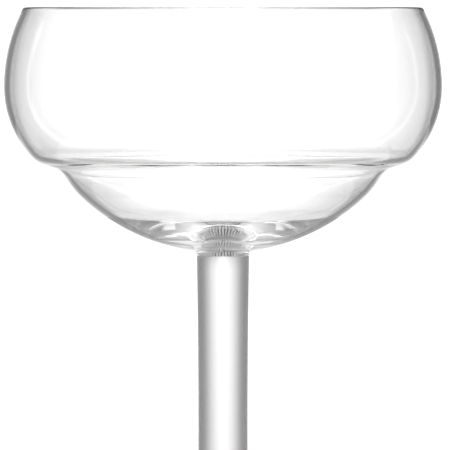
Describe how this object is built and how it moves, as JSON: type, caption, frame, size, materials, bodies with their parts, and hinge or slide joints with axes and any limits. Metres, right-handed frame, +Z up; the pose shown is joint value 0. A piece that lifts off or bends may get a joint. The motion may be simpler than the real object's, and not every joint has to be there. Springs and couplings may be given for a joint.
{
  "type": "coupe glass",
  "caption": "Wide clear coupe bowl with a stepped side and an incurved rim, joined by a fluted taper to a satin stem on a round, low-domed foot, for serving drinks.",
  "frame": {"origin": "centre of the foot's underside, on the plane that the glass stands on", "axes": "+Z up along the axis of the stem and the bowl; the glass is round, so +X and +Y are free"},
  "size_m": [0.105, 0.105, 0.1485],
  "materials": {
    "clear_glass": "clear, fire-polished",
    "satin_glass": "satin, acid-etched",
    "clear_adhesive": "cured clear adhesive film"
  },
  "bodies": {
    "root": {"bowl": "clear_glass", "bowl_bond_ring": "clear_adhesive", "stem": "satin_glass", "foot_bond_ring": "clear_adhesive", "foot": "clear_glass"}
  },
  "joints": []
}
